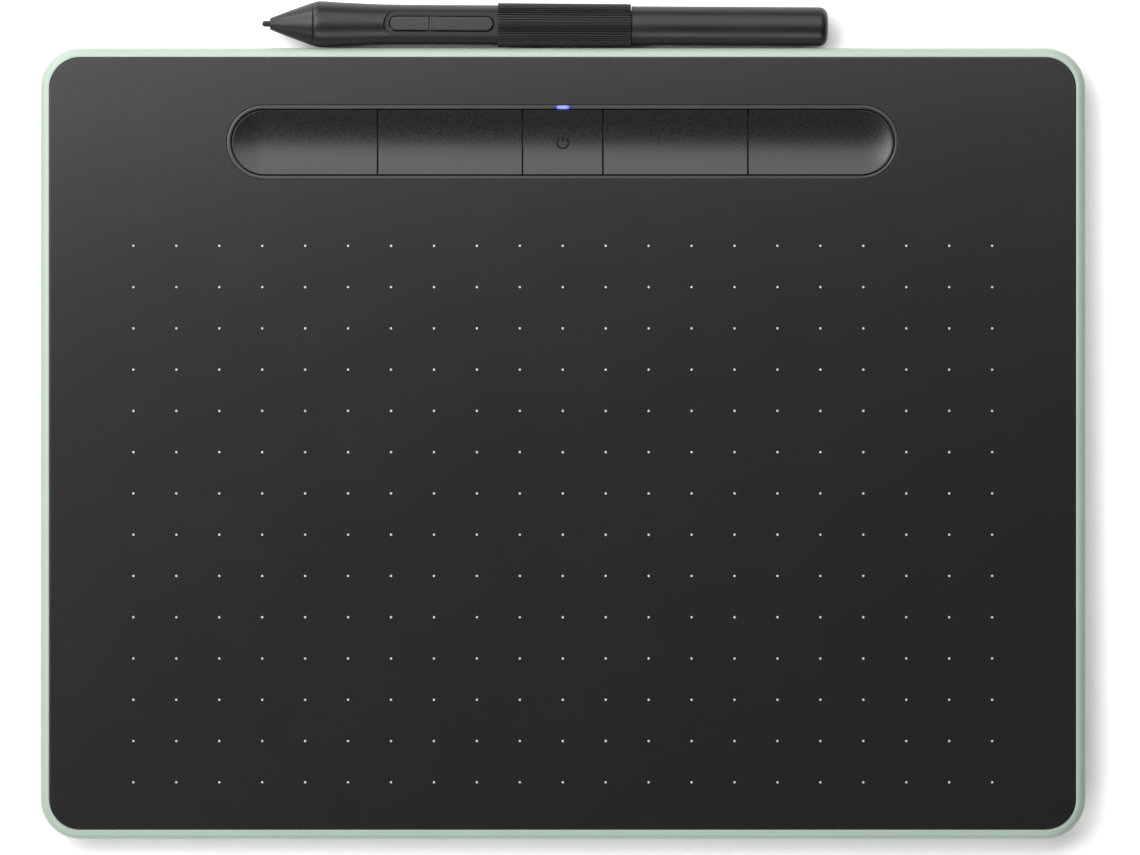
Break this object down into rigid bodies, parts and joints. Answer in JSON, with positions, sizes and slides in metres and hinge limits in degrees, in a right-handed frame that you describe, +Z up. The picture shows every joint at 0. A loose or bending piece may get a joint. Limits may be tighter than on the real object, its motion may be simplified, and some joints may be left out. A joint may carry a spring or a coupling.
{
  "type": "pen drawing tablet",
  "caption": "Flat pen drawing tablet with a dotted drawing surface, a dished key tray at the rear and a battery-free pen lying behind it.",
  "frame": {"origin": "on the desk plane, under the middle of the tablet's case; the pen lies outside this middle, behind the rear edge", "axes": "+X to the right along the tablet's long side and the pen, +Y from the user towards the key tray and pen, +Z up from the desk"},
  "size_m": [0.264, 0.2117, 0.0116],
  "materials": {
    "green_shell": "satin",
    "black_panel": "fine texture",
    "tray_ring": "satin",
    "key_top": "grained",
    "foot_rubber": "matte",
    "screw_steel": "zinc plated",
    "dome_steel": "bright",
    "circuit_board": "solder mask",
    "sensor_laminate": "solder mask",
    "adhesive_film": "translucent",
    "shield_steel": "rolled",
    "socket_steel": "drawn",
    "chip_resin": "moulded",
    "connector_plastic": "moulded",
    "flex_film": "polyimide",
    "battery_pouch": "laminated",
    "foam_tape": "foam",
    "lead_insulation": "smooth",
    "light_pipe": "clear, lit blue",
    "led_body": "clear",
    "pen_black": "satin",
    "pen_collar": "ribbed",
    "pen_switch": "satin",
    "nib_resin": "smooth",
    "ferrite": "sintered",
    "coil_copper": "enamelled winding",
    "silicone": "matte",
    "pen_carrier": "moulded",
    "pin_steel": "ground"
  },
  "bodies": {
    "tablet": {"bottom_case": "green_shell", "top_panel": "black_panel", "key_frame": "tray_ring", "case_screws": "screw_steel", "main_board": "circuit_board", "board_screws": "screw_steel", "board_chips": "chip_resin", "radio_shield_can": "shield_steel", "charging_socket_shell": "socket_steel", "charging_socket_tongue": "chip_resin", "status_led": "led_body", "status_light_pipe": "light_pipe", "sensor_board": "sensor_laminate", "panel_adhesive": "adhesive_film", "shield_plate": "shield_steel", "sensor_flex_cable": "flex_film", "flex_connector_main": "connector_plastic", "flex_connector_sensor": "connector_plastic", "battery_cell": "battery_pouch", "battery_pad": "foam_tape", "battery_lead": "lead_insulation", "battery_plug": "connector_plastic", "battery_header": "connector_plastic", "foot_front_left": "foot_rubber", "foot_front_right": "foot_rubber", "foot_rear_left": "foot_rubber", "foot_rear_right": "foot_rubber", "dome_express_key_outer_left": "dome_steel", "dome_express_key_inner_left": "dome_steel", "dome_power_key": "dome_steel", "dome_express_key_inner_right": "dome_steel", "dome_express_key_outer_right": "dome_steel"},
    "express_key_outer_left_body": {"express_key_outer_left": "key_top"},
    "express_key_inner_left_body": {"express_key_inner_left": "key_top"},
    "power_key_body": {"power_key": "key_top"},
    "express_key_inner_right_body": {"express_key_inner_right": "key_top"},
    "express_key_outer_right_body": {"express_key_outer_right": "key_top"},
    "pen": {"pen_nose_cone": "pen_black", "pen_front_barrel": "pen_black", "pen_switch_pin": "pin_steel", "pen_grip_collar": "pen_collar", "pen_ferrite_core": "ferrite", "pen_coil": "coil_copper", "pen_force_pad": "silicone", "pen_force_sensor": "chip_resin", "pen_chassis": "pen_carrier", "pen_board": "circuit_board", "pen_tact_switches": "dome_steel", "pen_nib_rack": "pen_carrier", "pen_spare_nibs": "nib_resin"},
    "side_switch": {"pen_side_switch": "pen_switch"},
    "nib": {"pen_nib": "nib_resin", "pen_nib_holder": "pen_carrier"},
    "rear_barrel": {"pen_rear_barrel": "pen_black"}
  },
  "joints": [
    {"name": "express_key_outer_left_press", "type": "slide", "parent": "tablet", "child": "express_key_outer_left_body", "axis": [0, 0, -1], "range_m": [0, 0.0004], "stiffness_N_per_m": 1200, "springref_m": -0.0004, "deforming": ["dome_express_key_outer_left"]},
    {"name": "express_key_inner_left_press", "type": "slide", "parent": "tablet", "child": "express_key_inner_left_body", "axis": [0, 0, -1], "range_m": [0, 0.0004], "stiffness_N_per_m": 1200, "springref_m": -0.0004, "deforming": ["dome_express_key_inner_left"]},
    {"name": "power_key_press", "type": "slide", "parent": "tablet", "child": "power_key_body", "axis": [0, 0, -1], "range_m": [0, 0.0004], "stiffness_N_per_m": 1200, "springref_m": -0.0004, "deforming": ["dome_power_key"]},
    {"name": "express_key_inner_right_press", "type": "slide", "parent": "tablet", "child": "express_key_inner_right_body", "axis": [0, 0, -1], "range_m": [0, 0.0004], "stiffness_N_per_m": 1200, "springref_m": -0.0004, "deforming": ["dome_express_key_inner_right"]},
    {"name": "express_key_outer_right_press", "type": "slide", "parent": "tablet", "child": "express_key_outer_right_body", "axis": [0, 0, -1], "range_m": [0, 0.0004], "stiffness_N_per_m": 1200, "springref_m": -0.0004, "deforming": ["dome_express_key_outer_right"]},
    {"name": "pen_lift", "type": "slide", "parent": "tablet", "child": "pen", "axis": [0, 0, 1], "range_m": [0, 0.12]},
    {"name": "side_switch_rock", "type": "hinge", "parent": "pen", "child": "side_switch", "pos_m": [-0.03349, 0.10589, 0.00819], "axis": [0.0047, 1, 0], "range_deg": [-1.5, 1.5], "stiffness_Nm_per_rad": 0.3},
    {"name": "nib_press", "type": "slide", "parent": "pen", "child": "nib", "axis": [1, -0.0047, -0.0047], "range_m": [0, 0.0003], "stiffness_N_per_m": 3000, "springref_m": -0.0002, "deforming": ["pen_force_pad"]},
    {"name": "rear_barrel_pull", "type": "slide", "parent": "pen", "child": "rear_barrel", "axis": [1, -0.0047, -0.0047], "range_m": [0, 0.04]}
  ]
}
